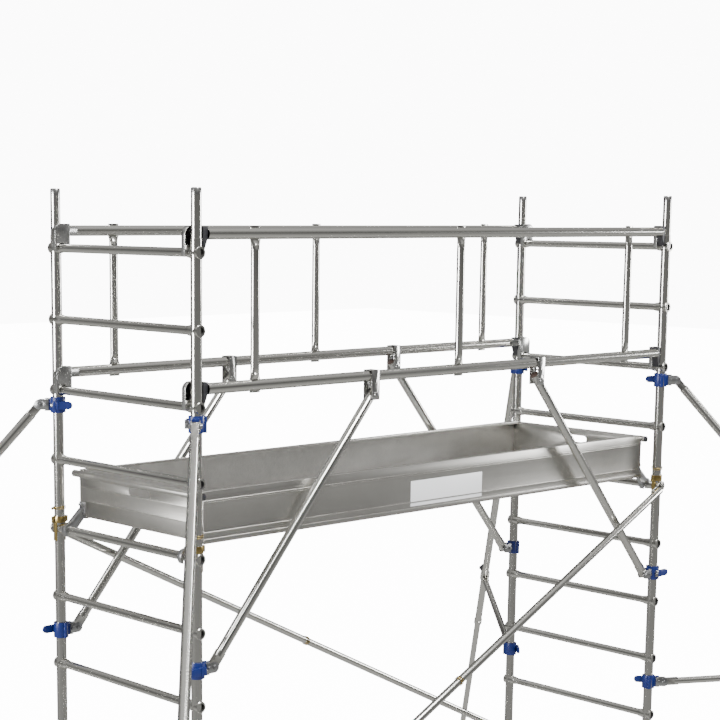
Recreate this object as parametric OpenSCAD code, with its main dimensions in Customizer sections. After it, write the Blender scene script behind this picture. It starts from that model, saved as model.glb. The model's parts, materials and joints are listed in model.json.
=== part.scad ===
// Narrow aluminium rolling scaffold tower with a tray deck, guardrails,
// telescopic stabilisers and adjustable braked castors.
// Millimetres, +Z up, +X along the deck. The origin is on the floor under the
// middle of the tower.

/* [Ladder frames] */
// Distance between the two ladder frames, upright axis to upright axis
bay_length = 2516; // [2200:2:3000]
// Width of a ladder frame, upright axis to upright axis
bay_width = 776; // [700:2:1000]
// Distance from one rung to the next
rung_pitch = 250; // [235:1:300]
// Height of the lowest rung above the bottom of the uprights
first_rung = 204; // [190:1:240]
// Height of a tube's end above its highest rung
top_margin = 46; // [44:1:60]
// Outside diameter of an upright
upright_d = 38; // [36:0.5:46]
// Wall of an upright
upright_wall = 1.6; // [1.4:0.1:2.5]
// Outside diameter of a rung
rung_d = 30; // [25:0.5:32]
// Wall of a rung
rung_wall = 2; // [1.5:0.1:3]
// Diameter of the flared end of a rung
flare_d = 38; // [34:0.5:40]
// Height of a spigot above the tube that carries it
spigot_rise = 161; // [120:1:200]
// Depth of a spigot inside the tube that carries it
spigot_depth = 140; // [100:1:170]
// Radial clearance of a spigot in its tubes
spigot_clearance = 0.05; // [0.02:0.01:0.1]
// Radial relief of the end of a spigot that stays in its own tube
spigot_relief = 0.25; // [0.2:0.05:0.5]
// Height of the cap on a free spigot
cap_height = 25; // [15:1:40]
// Diameter of the locking pin through a joint
lock_pin_d = 8; // [6:0.5:10]

/* [Castors] */
// Diameter of a castor wheel
wheel_d = 150; // [125:1:160]
// Width of a castor wheel
wheel_w = 40; // [32:1:50]
// Distance from the swivel axis to the wheel axle, seen from above
castor_trail = 45; // [38:1:55]
// Height of the levelling leg's collar above the castor
collar_gap = 38; // [30:1:80]
// Travel of the levelling leg
leg_travel = 140; // [60:1:150]

/* [Guardrails] */
// Diameter of a guardrail tube
rail_d = 38; // [34:0.5:42]
// Height of a guardrail tube above the rung that carries it
rail_seat = 60; // [54:1:64]
// Diameter of a guardrail post
post_d = 30; // [25:0.5:34]
// Distance from an upright to the outer posts
post_inset = 252; // [200:1:320]
// Distance from the middle of a rail to the brackets of its struts
strut_bracket_offset = 454; // [400:1:500]
// Diameter of a rail strut
rail_strut_d = 34; // [28:0.5:36]

/* [Deck] */
// Height of the tray's sides
tray_height = 177; // [160:1:200]
// Height of the tray's underside above the deck rung
tray_lift = 36; // [30:1:42]
// Gap from the frame's plane to the tray's end
tray_end_gap = 62; // [56:1:80]
// Gap from the upright's axis to the tray's side
tray_side_gap = 40; // [36:1:60]
// Thickness of the tray's sides and ends
tray_wall = 3; // [2:0.5:4]
// Number of floor planks
plank_count = 5; // [4:1:6]
// Width of a hand hole
hand_hole_w = 121; // [100:1:140]
// Height of a hand hole
hand_hole_h = 29; // [26:1:34]
// Diameter of the end board's rolled rim
rim_d = 25; // [20:0.5:28]

/* [Stabilisers] */
// Drop of the upper clamp below the rung that carries the middle rail
upper_clamp_drop = 53; // [50:1:70]
// Drop of the lower clamp below the rung above it
lower_clamp_drop = 103; // [60:1:150]
// Distance from the upright's axis to a foot, seen from above
foot_reach = 2375; // [2000:5:2600]
// Direction of a stabiliser from the long axis, seen from above
stab_angle = 47.6; // [35:0.1:60]
// Outside diameter of the outer tube
outer_d = 36; // [33:0.5:40]
// Wall of the outer tube
outer_wall = 2; // [1.5:0.1:2.5]
// Length of the outer tube
outer_length = 2010; // [1800:5:2200]
// Length of the leg inside the outer tube
leg_engagement = 310; // [200:5:400]
// Radial clearance of the leg in the outer tube
slide_clearance = 0.05; // [0.03:0.01:0.1]
// Distance along the outer tube to the strut's collar
collar_station = 1584; // [1500:1:1700]
// Diameter of the strut
stab_strut_d = 30; // [26:0.5:32]
// Diameter of the foot's rubber pad
pad_d = 110; // [90:1:140]

/* [Clamps] */
// Height of a clamp
clamp_h = 55; // [45:1:60]
// Wall of a clamp's jaws
clamp_wall = 8; // [6:0.5:9]
// Distance from the upright's axis to a clamp's pivot
clamp_reach = 66; // [64:1:76]
// Diameter of the pivot bolts
pivot_d = 12; // [10:0.5:14]
// Radial clearance of the pivots
pivot_clearance = 0.05; // [0.03:0.01:0.1]
// Thickness of the tongue between two cheek plates
tongue_t = 23.4; // [20:0.1:26]

/* [Braces] */
// Diameter of a diagonal brace
brace_d = 30; // [26:0.5:34]
// Number of rungs that a brace drops over the bay
brace_drop = 5; // [4:1:6]

/* [Hidden] */
$fn = 64;
CORNERS = [["front_left", -1, -1], ["front_right", 1, -1],
           ["back_left", -1, 1], ["back_right", 1, 1]];
MOVING = ["castor_leg", "castor_fork", "castor_wheel", "castor_brake",
          "rail_strut", "rail_clamp", "stabiliser_clamps", "stabiliser_gates",
          "stabiliser_tube", "stabiliser_leg", "stabiliser_strut"];
FIXED = ["frame_uprights", "frame_rungs", "frame_spigots", "joint_fittings",
         "leg_nuts", "deck_frame_beams", "deck_floor_planks",
         "deck_end_boards", "deck_hooks", "guardrail_rails",
         "guardrail_posts", "guardrail_end_brackets",
         "guardrail_strut_brackets", "rail_clamp_saddles",
         "diagonal_braces", "plastic_fittings"];

lower_rungs = 8;
upper_rungs = 4;
fit_gap = 0.3;
seat_gap = 0.05;
half_l = bay_length / 2;
half_w = bay_width / 2;

// Castor heights
axle_z = wheel_d / 2;
fork_top = wheel_d + 17.7;
fork_t = 9.7;
flange_z = fork_top + fit_gap;
flange_t = 10;
nut_h = 30;
foot_height = flange_z + flange_t + collar_gap + nut_h;

// Frame heights
lower_length = first_rung + (lower_rungs - 1) * rung_pitch + top_margin;
upper_length = upper_rungs * rung_pitch;
joint_z = foot_height + lower_length;
top_z = joint_z + upper_length;
function rung_z(i) = foot_height + first_rung + i * rung_pitch;
deck_rung = lower_rungs - 1;
mid_rung = deck_rung + 2;
top_rung = deck_rung + 4;
deck_z = rung_z(deck_rung);
spigot_d = upright_d - 2 * upright_wall - 2 * spigot_clearance;
spigot_wall = 2.5;
pin_rise = 28;
flare_out = 4;
flare_in = 26;
rung_reach = half_w + upright_d / 2 + flare_out;

// Guardrails
mid_rail_z = rung_z(mid_rung) + rail_seat;
top_rail_z = rung_z(top_rung) + rail_seat;
rail_wall = 2;
rail_gap = 42;
blade_t = 8;
blade_w = 46;
blade_out = 6;
strap_t = 3;
strap_w = 38;
strut_pivot_drop = 66;
strut_over = 26;
strut_pivot_x = half_l - strut_bracket_offset;
strut_pivot_z = mid_rail_z - strut_pivot_drop;
strut_clamp_z = rung_z(deck_rung - 2) + rung_pitch / 2;
strut_dx = strut_pivot_x - clamp_reach;
strut_dz = strut_pivot_z - strut_clamp_z;
strut_length = norm([strut_dx, strut_dz]);
strut_tilt = atan2(strut_dx, strut_dz);

// Deck
tray_y = half_w - tray_side_gap;
tray_x = half_l - tray_end_gap;
tray_z = deck_z + tray_lift;
flange_h = 6;
bearer_h = 8;
plank_z = tray_z + flange_h + bearer_h;
plank_h = 12;
plank_gap = 2;
plank_w = (2 * (tray_y - tray_wall) - (plank_count + 1) * plank_gap) / plank_count;
rim_z = tray_z + tray_height - 15;
rim_reach = half_w - 28;

// Clamps
head_d = 20;
head_h = 6;
cheek_t = 4;
cheek_y = tongue_t / 2 + fit_gap;
cheek_h = 36;
tongue_w = 30;
hinge_y = upright_d / 2 + clamp_wall + 1;
knuckle_d = 13;
knuckle_h = 24;
hinge_pin_d = 6;
jaw_gap = 0.5;
lever_l = 58;
lever_h = 28;

// Stabilisers
upper_clamp_z = rung_z(mid_rung) - upper_clamp_drop;
lower_clamp_z = rung_z(deck_rung - 3) - lower_clamp_drop;
foot_pin_z = 45;
pad_h = 18;
shoe_t = 6;
tube_dx = foot_reach - clamp_reach;
tube_dz = upper_clamp_z - foot_pin_z;
tube_tilt = 90 + atan2(tube_dz, tube_dx);
tube_length = norm([tube_dx, tube_dz]);
leg_d = outer_d - 2 * outer_wall - 2 * slide_clearance;
leg_wall = 2.5;
collar_arm = 34;
collar_x = clamp_reach + collar_station * sin(tube_tilt) + collar_arm * cos(tube_tilt);
collar_z = upper_clamp_z + collar_station * cos(tube_tilt) - collar_arm * sin(tube_tilt);
stab_strut_dx = collar_x - clamp_reach;
stab_strut_dz = collar_z - lower_clamp_z;
stab_strut_length = norm([stab_strut_dx, stab_strut_dz]);
stab_strut_tilt = atan2(-stab_strut_dx, -stab_strut_dz);

// Braces
brace_dx = bay_length;
brace_dz = brace_drop * rung_pitch;
brace_length = norm([brace_dx, brace_dz]);
brace_tilt = atan2(-brace_dx, -brace_dz);
brace_plate_t = 5;
brace_plate_d = 44;
brace_y = upright_d / 2 + flare_out + 2 + brace_d / 2;

// ---- Places ----
module at_corner(c) { translate([c[1] * half_l, c[2] * half_w, 0]) children(); }
module flip(x, y) { mirror([x ? 1 : 0, 0, 0]) mirror([0, y ? 1 : 0, 0]) children(); }
// At a corner, +X towards the middle of the bay and +Y inwards
module corner_frame(c) { at_corner(c) flip(c[1] > 0, c[2] > 0) children(); }
// At a corner, +X from the upright to the stabiliser's foot
module stab_frame(c) {
    at_corner(c) flip(c[1] < 0, c[2] < 0) rotate([0, 0, stab_angle]) children();
}
module along_x() { rotate([0, 90, 0]) children(); }
module along_y() { rotate([-90, 0, 0]) children(); }
// A cylinder across Y, centred
module cross_y(d, w) { rotate([90, 0, 0]) cylinder(d = d, h = w, center = true); }
module tube(d, wall, h) {
    difference() {
        cylinder(d = d, h = h);
        translate([0, 0, -1]) cylinder(d = d - 2 * wall, h = h + 2);
    }
}
module box(x0, x1, y0, y1, z0, z1) {
    translate([x0, y0, z0]) cube([x1 - x0, y1 - y0, z1 - z0]);
}

// ---- Ladder frames ----
module rung_holes(from, to) {
    for (i = [from : to]) translate([0, 0, rung_z(i)]) cross_y(rung_d, 3 * upright_d);
}
module pin_hole(z) {
    translate([-upright_d, 0, z]) along_x() cylinder(d = lock_pin_d, h = 2 * upright_d);
}
module upright(z, h, from, to) {
    difference() {
        translate([0, 0, z]) tube(upright_d, upright_wall, h);
        rung_holes(from, to);
        pin_hole(joint_z + pin_rise);
    }
}
module frame_uprights() {
    color("silver") for (c = CORNERS) at_corner(c) {
        upright(foot_height, lower_length, 0, deck_rung);
        upright(joint_z, upper_length, deck_rung + 1, top_rung);
    }
}
module rung() {
    flare_l = flare_in + upright_d + flare_out;
    difference() {
        union() {
            cross_y(rung_d, 2 * rung_reach);
            for (m = [0, 1]) mirror([0, m, 0]) difference() {
                translate([0, rung_reach - flare_l, 0]) along_y() cylinder(d = flare_d, h = flare_l);
                translate([0, half_w, -flare_d]) cylinder(d = upright_d, h = 2 * flare_d);
            }
        }
        cross_y(rung_d - 2 * rung_wall, 2 * rung_reach + 2);
    }
}
module frame_rungs() {
    color("gainsboro") for (s = [-1, 1]) for (i = [0 : top_rung])
        translate([s * half_l, 0, rung_z(i)]) rung();
}
module spigot(z, rung, rise) {
    difference() {
        union() {
            translate([0, 0, z - spigot_depth])
                cylinder(d = spigot_d - 2 * spigot_relief, h = spigot_depth);
            translate([0, 0, z]) cylinder(d = spigot_d, h = rise);
        }
        translate([0, 0, z - spigot_depth - 1])
            cylinder(d = spigot_d - 2 * spigot_wall, h = spigot_depth + rise + 2);
        rung_holes(rung, rung);
        pin_hole(z + pin_rise);
    }
}
// Cap of the spigot's own diameter, with a plug down its bore
module spigot_cap() {
    cap_z = top_z + spigot_rise - cap_height;
    translate([0, 0, cap_z]) cylinder(d = spigot_d, h = cap_height);
    translate([0, 0, cap_z - 20]) cylinder(d = spigot_d - 2 * spigot_wall, h = 25);
}
module frame_spigots() {
    color("whitesmoke") for (c = CORNERS) at_corner(c) {
        spigot(joint_z, deck_rung, spigot_rise);
        spigot(top_z, top_rung, spigot_rise - cap_height);
        spigot_cap();
    }
}
// Zinc-plated collar with two legs that straddle the deck rung
module joint_collar() {
    wall = 4;
    band = 22;
    leg = 18;
    drop = 45;
    band_z = deck_z + flare_d / 2 + 3;
    difference() {
        translate([0, 0, deck_z - drop]) difference() {
            cylinder(d = upright_d + 2 * wall, h = band_z + band - deck_z + drop);
            translate([0, 0, -1])
                cylinder(d = upright_d + 2 * seat_gap, h = band_z + band + drop - deck_z + 2);
        }
        translate([0, 0, deck_z]) cross_y(flare_d + 2 * seat_gap, 3 * upright_d);
        for (s = [-1, 1]) translate([-upright_d, s * (leg + upright_d) / 2 - upright_d / 2, 0])
            cube([2 * upright_d, upright_d, band_z]);
    }
    for (s = [-1, 1]) difference() {
        box(s * 27 - 5, s * 27 + 5, -6, 6, band_z, band_z + band);
        translate([0, 0, band_z - 1]) cylinder(d = upright_d + 2 * wall - 1, h = band + 2);
    }
}
// Spring clip: a pin through the joint and two wire rings round the tube
module spring_clip() {
    wire_d = 3;
    ring_r = upright_d / 2 + 3;
    ring_z = 4.5;
    translate([-ring_r - 3, 0, 0]) along_x() cylinder(d = lock_pin_d, h = 2 * ring_r + 12);
    for (s = [-1, 1]) translate([0, 0, s * ring_z])
        rotate_extrude() translate([ring_r, 0]) circle(d = wire_d, $fn = 24);
}
module joint_fittings() {
    color("goldenrod") {
        for (c = CORNERS) at_corner(c) {
            joint_collar();
            translate([0, 0, joint_z + pin_rise]) mirror([c[1] < 0 ? 1 : 0, 0, 0]) spring_clip();
        }
        for (a = [0, 180]) rotate([0, 0, a]) brace_frame() translate([0, 0, brace_length / 2])
            rotate_extrude() translate([brace_d / 2 + 1.5, 0]) circle(d = 3, $fn = 24);
    }
}

// ---- Castors ----
module leg_nuts() {
    color("silver") for (c = CORNERS) at_corner(c) translate([0, 0, foot_height - nut_h])
        difference() {
            union() {
                cylinder(d = 54, h = nut_h);
                for (a = [0 : 90 : 270]) rotate([0, 0, a]) box(24, 38, -6, 6, 6, nut_h - 6);
            }
            translate([0, 0, -1]) cylinder(d = spigot_d + 2 * spigot_clearance, h = nut_h + 2);
        }
}
kingpin_d = 16;
module castor_leg() {
    color("silver") {
        translate([0, 0, flange_z]) cylinder(d = 60, h = flange_t);
        translate([0, 0, flange_z + 1])
            cylinder(d = spigot_d, h = foot_height + leg_travel + 40 - flange_z - 1);
        translate([0, 0, fork_top - fork_t - 7]) cylinder(d = kingpin_d, h = fork_t + 12);
        translate([0, 0, fork_top - fork_t - fit_gap - 7]) cylinder(d = 26, h = 7);
    }
}
brake_x = -castor_trail - 57;
brake_z = axle_z + 69;
brake_pin_d = 8;
fork_gap = wheel_w + 6;
module castor_fork() {
    wall = 4;
    plate_d = 76;
    back = brake_x - 8;
    color("dimgray") {
        difference() {
            translate([0, 0, fork_top - fork_t]) cylinder(d = plate_d, h = fork_t);
            translate([0, 0, fork_top - fork_t - 1])
                cylinder(d = kingpin_d + 2 * pivot_clearance, h = fork_t + 2);
        }
        for (s = [-1, 1]) translate([0, s * (fork_gap + wall) / 2 + wall / 2, 0]) rotate([90, 0, 0])
            linear_extrude(height = wall)
                polygon([[28, fork_top], [-28, fork_top], [back, brake_z + 10], [back, brake_z - 8],
                         [-castor_trail - 16, axle_z - 8], [-castor_trail, axle_z - 16],
                         [-castor_trail + 14, axle_z - 10], [24, fork_top - 22]]);
        translate([-castor_trail, 0, axle_z]) cross_y(pivot_d, fork_gap + 4 * wall);
        translate([brake_x, 0, brake_z]) cross_y(brake_pin_d, fork_gap + 3 * wall);
    }
}
module castor_wheel() {
    rim = wheel_d / 2 - 17;
    crown = 8;
    translate([-castor_trail, 0, axle_z]) rotate([90, 0, 0]) {
        color([0.15, 0.15, 0.16]) rotate_extrude() union() {
            translate([rim, -wheel_w / 2 + 2]) square([17 - crown, wheel_w - 4]);
            translate([rim + 4, -wheel_w / 2 + crown]) square([13, wheel_w - 2 * crown]);
            for (s = [-1, 1]) translate([wheel_d / 2 - crown, s * (wheel_w / 2 - crown)])
                circle(r = crown);
        }
        color("gray") rotate_extrude() difference() {
            union() {
                translate([rim - 8, -wheel_w / 2 + 4]) square([8, wheel_w - 8]);
                translate([pivot_d / 2 + 1, -5]) square([rim - 8 - pivot_d / 2, 10]);
                translate([pivot_d / 2, -wheel_w / 2 - 2]) square([11, wheel_w + 4]);
            }
            translate([0, -wheel_w]) square([pivot_d / 2 + pivot_clearance, 2 * wheel_w]);
        }
    }
}
module castor_brake() {
    pedal_w = fork_gap - 2;
    color("firebrick") translate([brake_x, 0, brake_z]) rotate([0, -18, 0]) difference() {
        union() {
            cross_y(18, pedal_w);
            box(-60, -4.5, 2 - pedal_w / 2, pedal_w / 2 - 2, -3, 4);
            translate([-60, 0, 1]) cross_y(13, pedal_w - 2);
        }
        cross_y(brake_pin_d + 2 * pivot_clearance, fork_gap);
    }
}

// ---- Guardrails ----
module post_places() {
    for (s = [-1, 1]) for (x = [-half_l + post_inset, 0, half_l - post_inset])
        translate([x, s * half_w, 0]) children();
}
module post_blades() {
    for (z = [mid_rail_z, top_rail_z])
        box(-blade_w / 2, blade_w / 2, -blade_t / 2, blade_t / 2,
            z - rail_d / 2 - blade_out - 24 * (z > mid_rail_z ? 1 : 0),
            z + rail_d / 2 + blade_out + 24 * (z > mid_rail_z ? 0 : 1));
}
module guardrail_rails() {
    length = bay_length - 2 * rail_gap;
    color("silver") difference() {
        for (s = [-1, 1]) for (z = [mid_rail_z, top_rail_z])
            translate([-length / 2, s * half_w, z]) along_x() tube(rail_d, rail_wall, length);
        post_places() post_blades();
    }
}
module guardrail_posts() {
    shoulder = rail_d / 2 + 14;
    color("silver") post_places() {
        post_blades();
        translate([0, 0, mid_rail_z + shoulder])
            cylinder(d = post_d, h = top_rail_z - mid_rail_z - 2 * shoulder);
    }
}
// Pressed bracket that drops over a rung beside the upright
module end_bracket(z, rail_z) {
    x0 = -30;
    x1 = 34;
    y0 = upright_d / 2 + 2;
    depth = 18;
    wall = 3;
    corner = 26;
    top = rail_z + 25;
    difference() {
        translate([0, y0 + depth, 0]) rotate([90, 0, 0]) linear_extrude(height = depth)
            bracket_outline(x0, x1, z - 10, top, corner);
        translate([0, y0 + depth - wall, 0]) rotate([90, 0, 0]) linear_extrude(height = depth)
            bracket_outline(x0 + wall, x1 - wall, z + 24, top - wall, corner - wall);
        translate([0, y0, z]) cross_y(flare_d + 2 * seat_gap, 4 * depth);
        box(-flare_d / 2, flare_d / 2, 0, 4 * depth, z - 60, z);
        translate([0, 0, rail_z]) along_x() cylinder(d = rail_d, h = 200);
    }
    difference() {
        box(x1 - 1, x1 + 40, y0 - 12, y0 + 6, rail_z - 14, rail_z + 14);
        translate([0, 0, rail_z]) along_x() cylinder(d = rail_d, h = 200);
        box(0, rail_gap, 0, y0, rail_z - 20, rail_z + 20);
    }
}
module bracket_outline(x0, x1, z0, z1, r) {
    translate([x0, z0]) square([x1 - x0, z1 - z0 - r]);
    translate([x0 + r, z0]) square([x1 - x0 - r, z1 - z0]);
    translate([x0 + r, z1 - r]) circle(r = r);
}
module bracket_places() {
    for (c = CORNERS) corner_frame(c) children();
}
module guardrail_end_brackets() {
    color("lightgray") bracket_places() {
        end_bracket(rung_z(mid_rung), mid_rail_z);
        end_bracket(rung_z(top_rung), top_rail_z);
    }
}
module strut_bracket() {
    inner = rail_d / 2;
    difference() {
        box(-strap_w / 2, strap_w / 2, -inner - strap_t, inner + strap_t,
            mid_rail_z - strut_pivot_drop - 18, mid_rail_z + inner + strap_t);
        box(-strap_w, strap_w, -inner, inner, 0, mid_rail_z + inner);
    }
    translate([0, 0, strut_pivot_z]) {
        cross_y(pivot_d, rail_d + 4 * strap_t);
        for (s = [-1, 1]) translate([0, s * (inner + strap_t + 3), 0]) cross_y(head_d, 6);
    }
    translate([0, 0, mid_rail_z - inner - 8]) cross_y(6, rail_d + 4 * strap_t);
}
module guardrail_strut_brackets() {
    color("lightgray") for (c = CORNERS) corner_frame(c)
        translate([strut_pivot_x, 0, 0]) strut_bracket();
}
// Snap catch between an upright and the end of a rail
module rail_catch(z, rail_z) {
    x0 = upright_d / 2 + 3;
    translate([0, upright_d / 2 + 2, 0]) rotate([90, 0, 0]) linear_extrude(height = 30)
        polygon([[x0, rail_z + 23], [rail_gap, rail_z + 23], [rail_gap, rail_z - 15],
                 [x0 + 4, z + 3], [x0, z + 3]]);
}
module plastic_fittings() {
    color([0.12, 0.12, 0.13]) {
        bracket_places() {
            rail_catch(rung_z(mid_rung), mid_rail_z);
            rail_catch(rung_z(top_rung), top_rail_z);
        }
        for (c = CORNERS) corner_frame(c)
            translate([tray_end_gap - rim_d / 2, half_w - rim_reach, rim_z]) {
                translate([0, -4, 0]) along_y() cylinder(d = rim_d, h = 4);
                along_y() cylinder(d = rim_d - 4, h = 20);
            }
    }
}

// ---- Deck ----
module beam_profile() {
    y = tray_y;
    t = tray_wall;
    translate([y - t, 0]) square([t, tray_height]);
    translate([y - 22, tray_height - 4]) square([22, 4]);
    translate([y - 22, tray_height - 12]) square([3, 12]);
    translate([y - 34, 0]) square([34, flange_h]);
    translate([y - 1, 0]) square([4, 16]);
    for (z = [35, tray_height - 41, tray_height - 35]) translate([y - 1, z]) square([3.5, 4]);
}
module deck_frame_beams() {
    bearers = 6;
    color("darkgray") {
        for (m = [0, 1]) mirror([0, m, 0]) translate([-tray_x, 0, tray_z])
            rotate([90, 0, 90]) linear_extrude(height = 2 * tray_x) beam_profile();
        for (i = [0 : bearers - 1])
            translate([(i - (bearers - 1) / 2) * (2 * tray_x - 160) / (bearers - 1), 0, 0])
                box(-30, 30, tray_wall - tray_y, tray_y - tray_wall,
                    tray_z + flange_h, tray_z + flange_h + bearer_h);
    }
}
module plank_profile() {
    skin = 2.5;
    leg = 3;
    ribs = 9;
    translate([0, plank_h - skin]) square([plank_w, skin]);
    for (y = [0, (plank_w - leg) / 2, plank_w - leg]) translate([y, 0]) square([leg, plank_h]);
    for (i = [0 : ribs - 1]) translate([(i + 0.5) * plank_w / ribs - 1.5, plank_h - 1])
        square([3, 2]);
}
module deck_floor_planks() {
    length = 2 * (tray_x - tray_wall - 1);
    color("darkgray") for (i = [0 : plank_count - 1])
        translate([-length / 2, tray_wall - tray_y + plank_gap + i * (plank_w + plank_gap), plank_z])
            rotate([90, 0, 90]) linear_extrude(height = length) plank_profile();
}
module end_board() {
    t = tray_wall;
    foot = tray_z + flange_h;
    hole_z = tray_z + tray_height - 46;
    difference() {
        union() {
            box(0, t, -tray_y + t, tray_y - t, foot, rim_z + 3);
            for (z = [tray_z + 62, tray_z + 112])
                box(-2, t, -tray_y + t, tray_y - t, z, z + 4);
            translate([-rim_d / 2, 0, rim_z]) cross_y(rim_d, 2 * rim_reach);
            box(-rim_d / 2, t, -tray_y + t, tray_y - t, rim_z - 5, rim_z + 3);
        }
        translate([-rim_d / 2, 0, rim_z]) cross_y(rim_d - 4, 2 * rim_reach + 2);
        translate([0, 0, hole_z]) {
            box(-20, 20, -(hand_hole_w - hand_hole_h) / 2, (hand_hole_w - hand_hole_h) / 2,
                -hand_hole_h / 2, hand_hole_h / 2);
            for (s = [-1, 1]) translate([-20, s * (hand_hole_w - hand_hole_h) / 2, 0])
                along_x() cylinder(d = hand_hole_h, h = 40);
        }
    }
}
module deck_end_boards() {
    color("darkgray") for (a = [0, 180]) rotate([0, 0, a]) translate([-tray_x, 0, 0]) end_board();
}
// Cast hook that drops over the deck rung
module deck_hook() {
    y0 = 50;
    w = 20;
    ring_d = rung_d + 24;
    difference() {
        translate([0, y0 + w, deck_z]) rotate([90, 0, 0]) linear_extrude(height = w) union() {
            circle(d = ring_d);
            polygon([[0, 0], [26, 2], [tray_end_gap, tray_lift + flange_h],
                     [tray_end_gap, 78], [tray_end_gap - 8, 78], [0, ring_d / 2]]);
        }
        translate([0, y0, deck_z]) cross_y(rung_d + 2 * seat_gap, 4 * w);
        box(-rung_d / 2, rung_d / 2, y0 - w, y0 + 2 * w, deck_z - ring_d, deck_z);
        box(0, 2 * tray_end_gap, y0 - w, y0 + 2 * w, deck_z - ring_d, deck_z - 20);
    }
    box(tray_end_gap - 6, tray_end_gap, y0 - 6, y0 + w + 6, tray_z + flange_h, deck_z + 96);
    for (z = [deck_z + 86, deck_z + 56]) for (y = [y0 - 1, y0 + w + 1])
        translate([tray_end_gap - 11, y, z]) along_x() cylinder(d = 9, h = 6);
}
module deck_hooks() {
    color("silver") for (c = CORNERS) corner_frame(c) deck_hook();
}

// ---- Braces ----
// Frame of the front brace: +Z runs from its upper end to its lower end
module brace_frame() {
    translate([half_l, -half_w - brace_y, deck_z]) rotate([0, brace_tilt, 0]) children();
}
module brace() {
    plate_y = brace_y - upright_d / 2 - flare_out - brace_plate_t;
    brace_frame() {
        translate([0, 0, 30]) tube(brace_d, 2, brace_length - 60);
        for (z = [0, brace_length]) translate([0, plate_y, z]) {
            dir = z > 0 ? -1 : 1;
            difference() {
                union() {
                    along_y() cylinder(d = brace_plate_d, h = brace_plate_t);
                    box(-16, 16, 0, brace_plate_t, min(0, dir * 70), max(0, dir * 70));
                }
                translate([0, -plate_y, -z]) cylinder(d = brace_d - 1, h = brace_length);
            }
            translate([0, -head_h, 0]) along_y() cylinder(d = head_d, h = head_h);
            translate([0, brace_plate_t, 0]) along_y()
                cylinder(d = rung_d - 2 * rung_wall - 2 * seat_gap, h = 30);
        }
    }
}
module diagonal_braces() {
    color("silver") for (a = [0, 180]) rotate([0, 0, a]) brace();
}

// ---- Clamps: the upright is the local Z axis and the arm points along +X ----
module jaw(side) {
    outer = upright_d / 2 + clamp_wall;
    difference() {
        cylinder(r = outer, h = clamp_h, center = true);
        cylinder(d = upright_d + 2 * pivot_clearance, h = clamp_h + 2, center = true);
        box(side > 0 ? -outer - 1 : -jaw_gap, side > 0 ? jaw_gap : outer + 1,
            -outer - 1, outer + 1, -clamp_h, clamp_h);
    }
}
module hinge_zone(gap) {
    translate([0, hinge_y, 0]) cylinder(d = knuckle_d + 2 * gap, h = knuckle_h + 2 * gap, center = true);
}
module saddle() {
    boss = clamp_reach - tongue_w / 2 - 5;
    ear = upright_d / 2 + 5;
    difference() {
        union() {
            jaw(1);
            box(upright_d / 2 + 2, boss, -cheek_y, cheek_y, 5 - clamp_h / 2, clamp_h / 2 - 5);
            for (s = [-1, 1]) translate([0, hinge_y, s * (clamp_h + knuckle_h) / 4])
                cylinder(d = knuckle_d, h = (clamp_h - knuckle_h) / 2, center = true);
            box(jaw_gap, 12, -ear - 14, -ear, -lever_h / 2, lever_h / 2);
        }
        hinge_zone(fit_gap);
    }
    translate([0, hinge_y, 0]) cylinder(d = hinge_pin_d, h = clamp_h, center = true);
    translate([11, -ear - 8, 0]) along_x() cylinder(d = 13, h = 9, $fn = 6);
}
module cheeks(with_pin) {
    x0 = upright_d / 2 + clamp_wall + 4;
    for (s = [-1, 1]) translate([0, s * (cheek_y + cheek_t / 2), 0]) {
        box(x0, clamp_reach, -cheek_t / 2, cheek_t / 2, -cheek_h / 2, cheek_h / 2);
        translate([clamp_reach, 0, 0]) cross_y(cheek_h, cheek_t);
        for (x = [x0 + 10, clamp_reach]) translate([x, s * (cheek_t + head_h) / 2, 0])
            cross_y(head_d * 0.8, head_h);
    }
    if (with_pin) translate([clamp_reach, 0, 0]) cross_y(pivot_d, 2 * cheek_y + 1);
}
module gate() {
    ear = upright_d / 2 + 5;
    difference() {
        union() {
            jaw(-1);
            box(-10, -jaw_gap, -ear - 14, -ear + 2, -lever_h / 2, lever_h / 2);
            box(-lever_l + lever_h / 2, -8, -ear - 12, -ear - 2, -lever_h / 2, lever_h / 2);
            translate([-lever_l + lever_h / 2, -ear - 7, 0]) cross_y(lever_h, 10);
            translate([0, hinge_y, 0]) cylinder(d = knuckle_d, h = knuckle_h, center = true);
        }
        for (s = [-1, 1]) translate([0, hinge_y, s * (clamp_h + knuckle_h) / 4])
            cylinder(d = knuckle_d + 2 * fit_gap, h = (clamp_h - knuckle_h) / 2 + 0.02, center = true);
        cylinder(d = upright_d + 2 * pivot_clearance, h = clamp_h + 2, center = true);
        translate([0, hinge_y, 0])
            cylinder(d = hinge_pin_d + 2 * pivot_clearance, h = clamp_h, center = true);
    }
}
// Flat tongue at the end of a tube, round its own pivot; the tube lies along +Z
module tongue(t) {
    box(-tongue_w / 2, tongue_w / 2, -t / 2, t / 2, 0, 60);
    cross_y(tongue_w, t);
}

// ---- Rail struts ----
module rail_strut() {
    color("silver") translate([strut_pivot_x, 0, strut_pivot_z]) rotate([0, 180 + strut_tilt, 0])
        difference() {
            union() {
                translate([0, 0, -strut_over]) cylinder(d = rail_strut_d, h = strut_length + strut_over - 40);
                translate([0, 0, strut_length]) mirror([0, 0, 1]) tongue(tongue_t);
            }
            translate([0, 0, pivot_d]) cylinder(d = rail_strut_d - 4, h = strut_length - 90);
            cross_y(pivot_d + 2 * pivot_clearance, 2 * rail_strut_d);
        }
}
module rail_clamp_saddles() {
    for (c = CORNERS) corner_frame(c) translate([0, 0, strut_clamp_z]) {
        color("royalblue") saddle();
        color("silver") cheeks(false);
    }
}
module rail_clamp() { color("royalblue") translate([0, 0, strut_clamp_z]) gate(); }

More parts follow.
